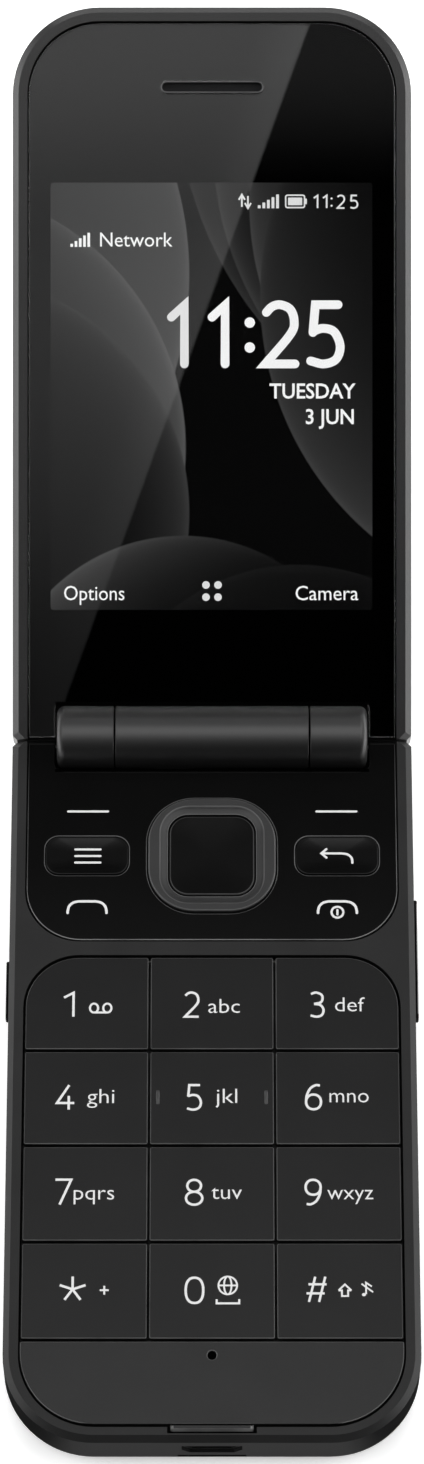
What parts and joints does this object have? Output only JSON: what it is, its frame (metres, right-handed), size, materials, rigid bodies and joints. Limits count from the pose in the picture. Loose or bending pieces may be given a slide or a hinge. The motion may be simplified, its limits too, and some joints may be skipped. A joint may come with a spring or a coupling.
{
  "type": "flip phone",
  "caption": "Clamshell mobile phone lying open: a keypad base with loose keys, a rocking navigation ring, side keys, sockets and a battery, and a hinged lid with inner and outer displays.",
  "frame": {"origin": "middle of the base's flat back face", "axes": "+X to the right of the keypad, +Y from the keypad towards the lid, +Z out of the keypad, up when the open phone lies on its back"},
  "size_m": [0.056, 0.1947, 0.0512],
  "materials": {
    "housing": "fine matt, dark grey",
    "inner_plastic": "moulded, matt",
    "key_plastic": "satin, dark grey",
    "gloss_black": "polished black",
    "lid_glass": "polished, dark tinted",
    "display": "smooth front",
    "silicone": "soft, matt",
    "board": "solder mask",
    "steel": "satin",
    "dome_film": "clear film over metal domes",
    "battery_label": "printed label",
    "black_part": "moulded black",
    "mesh": "fine dark mesh",
    "magnet": "plated",
    "flex": "amber film",
    "lamp": "clear lens over a light chip"
  },
  "bodies": {
    "base": {"base_front_frame": "housing", "base_rear_housing": "inner_plastic", "rear_cover": "housing", "battery": "battery_label", "battery_contacts": "inner_plastic", "main_board": "board", "dome_sheet": "dome_film", "keypad_mat": "silicone", "panel_mat": "silicone", "function_panel": "gloss_black", "chin_panel": "key_plastic", "side_key_switches": "steel", "usb_socket": "steel", "headphone_jack": "inner_plastic", "loudspeaker": "black_part", "speaker_mesh": "mesh", "vibration_motor": "steel", "sim_card_holder": "inner_plastic", "microphone": "black_part", "base_screws": "steel", "hinge_module": "steel", "hinge_pin": "steel", "hinge_flex": "flex"},
    "lid": {"lid_frame": "housing", "lid_cover": "housing", "lid_glass": "lid_glass", "main_display": "display", "lid_board": "board", "outer_display": "display", "outer_window": "lid_glass", "camera_module": "black_part", "flash_led": "lamp", "earpiece": "black_part", "earpiece_mesh": "mesh", "lid_magnet": "magnet", "lid_screws": "steel", "lid_flex": "flex"},
    "nav_rocker": {"nav_spacer": "steel"},
    "nav_ring": {"nav_ring": "key_plastic"},
    "select_key": {"select_key": "gloss_black"},
    "menu_key": {"menu_key": "gloss_black"},
    "back_key": {"back_key": "gloss_black"},
    "key_1": {"key_1": "key_plastic"},
    "key_2": {"key_2": "key_plastic"},
    "key_3": {"key_3": "key_plastic"},
    "key_4": {"key_4": "key_plastic"},
    "key_5": {"key_5": "key_plastic"},
    "key_6": {"key_6": "key_plastic"},
    "key_7": {"key_7": "key_plastic"},
    "key_8": {"key_8": "key_plastic"},
    "key_9": {"key_9": "key_plastic"},
    "key_star": {"key_star": "key_plastic"},
    "key_0": {"key_0": "key_plastic"},
    "key_hash": {"key_hash": "key_plastic"},
    "volume_rocker": {"volume_rocker": "key_plastic"},
    "sos_key": {"sos_key": "key_plastic"}
  },
  "joints": [
    {"name": "lid_hinge", "type": "hinge", "parent": "base", "child": "lid", "pos_m": [0, 0.0504, 0.01], "axis": [1, 0, 0], "range_deg": [0, 155.5]},
    {"name": "nav_rock_up_down", "type": "hinge", "parent": "base", "child": "nav_rocker", "pos_m": [0, 0.0329, 0.0079], "axis": [1, 0, 0], "range_deg": [-1.4, 1.4], "stiffness_Nm_per_rad": 0.4},
    {"name": "nav_rock_left_right", "type": "hinge", "parent": "nav_rocker", "child": "nav_ring", "pos_m": [0, 0.0329, 0.00805], "axis": [0, 1, 0], "range_deg": [-1.4, 1.4], "stiffness_Nm_per_rad": 0.4},
    {"name": "select_press", "type": "slide", "parent": "base", "child": "select_key", "axis": [0, 0, -1], "range_m": [0, 0.0003], "stiffness_N_per_m": 3000, "deforming": ["panel_mat"]},
    {"name": "menu_press", "type": "slide", "parent": "base", "child": "menu_key", "axis": [0, 0, -1], "range_m": [0, 0.0003], "stiffness_N_per_m": 3000, "deforming": ["panel_mat"]},
    {"name": "back_press", "type": "slide", "parent": "base", "child": "back_key", "axis": [0, 0, -1], "range_m": [0, 0.0003], "stiffness_N_per_m": 3000, "deforming": ["panel_mat"]},
    {"name": "key_1_press", "type": "slide", "parent": "base", "child": "key_1", "axis": [0, 0, -1], "range_m": [0, 0.0003], "stiffness_N_per_m": 3000, "deforming": ["keypad_mat"]},
    {"name": "key_2_press", "type": "slide", "parent": "base", "child": "key_2", "axis": [0, 0, -1], "range_m": [0, 0.0003], "stiffness_N_per_m": 3000, "deforming": ["keypad_mat"]},
    {"name": "key_3_press", "type": "slide", "parent": "base", "child": "key_3", "axis": [0, 0, -1], "range_m": [0, 0.0003], "stiffness_N_per_m": 3000, "deforming": ["keypad_mat"]},
    {"name": "key_4_press", "type": "slide", "parent": "base", "child": "key_4", "axis": [0, 0, -1], "range_m": [0, 0.0003], "stiffness_N_per_m": 3000, "deforming": ["keypad_mat"]},
    {"name": "key_5_press", "type": "slide", "parent": "base", "child": "key_5", "axis": [0, 0, -1], "range_m": [0, 0.0003], "stiffness_N_per_m": 3000, "deforming": ["keypad_mat"]},
    {"name": "key_6_press", "type": "slide", "parent": "base", "child": "key_6", "axis": [0, 0, -1], "range_m": [0, 0.0003], "stiffness_N_per_m": 3000, "deforming": ["keypad_mat"]},
    {"name": "key_7_press", "type": "slide", "parent": "base", "child": "key_7", "axis": [0, 0, -1], "range_m": [0, 0.0003], "stiffness_N_per_m": 3000, "deforming": ["keypad_mat"]},
    {"name": "key_8_press", "type": "slide", "parent": "base", "child": "key_8", "axis": [0, 0, -1], "range_m": [0, 0.0003], "stiffness_N_per_m": 3000, "deforming": ["keypad_mat"]},
    {"name": "key_9_press", "type": "slide", "parent": "base", "child": "key_9", "axis": [0, 0, -1], "range_m": [0, 0.0003], "stiffness_N_per_m": 3000, "deforming": ["keypad_mat"]},
    {"name": "key_star_press", "type": "slide", "parent": "base", "child": "key_star", "axis": [0, 0, -1], "range_m": [0, 0.0003], "stiffness_N_per_m": 3000, "deforming": ["keypad_mat"]},
    {"name": "key_0_press", "type": "slide", "parent": "base", "child": "key_0", "axis": [0, 0, -1], "range_m": [0, 0.0003], "stiffness_N_per_m": 3000, "deforming": ["keypad_mat"]},
    {"name": "key_hash_press", "type": "slide", "parent": "base", "child": "key_hash", "axis": [0, 0, -1], "range_m": [0, 0.0003], "stiffness_N_per_m": 3000, "deforming": ["keypad_mat"]},
    {"name": "volume_tilt", "type": "hinge", "parent": "base", "child": "volume_rocker", "pos_m": [0.0253, 0.0189, 0.00575], "axis": [0, 0, 1], "range_deg": [-1.5, 1.5], "stiffness_Nm_per_rad": 0.4},
    {"name": "sos_press", "type": "slide", "parent": "base", "child": "sos_key", "axis": [1, 0, 0], "range_m": [0, 0.0003], "stiffness_N_per_m": 3000}
  ]
}
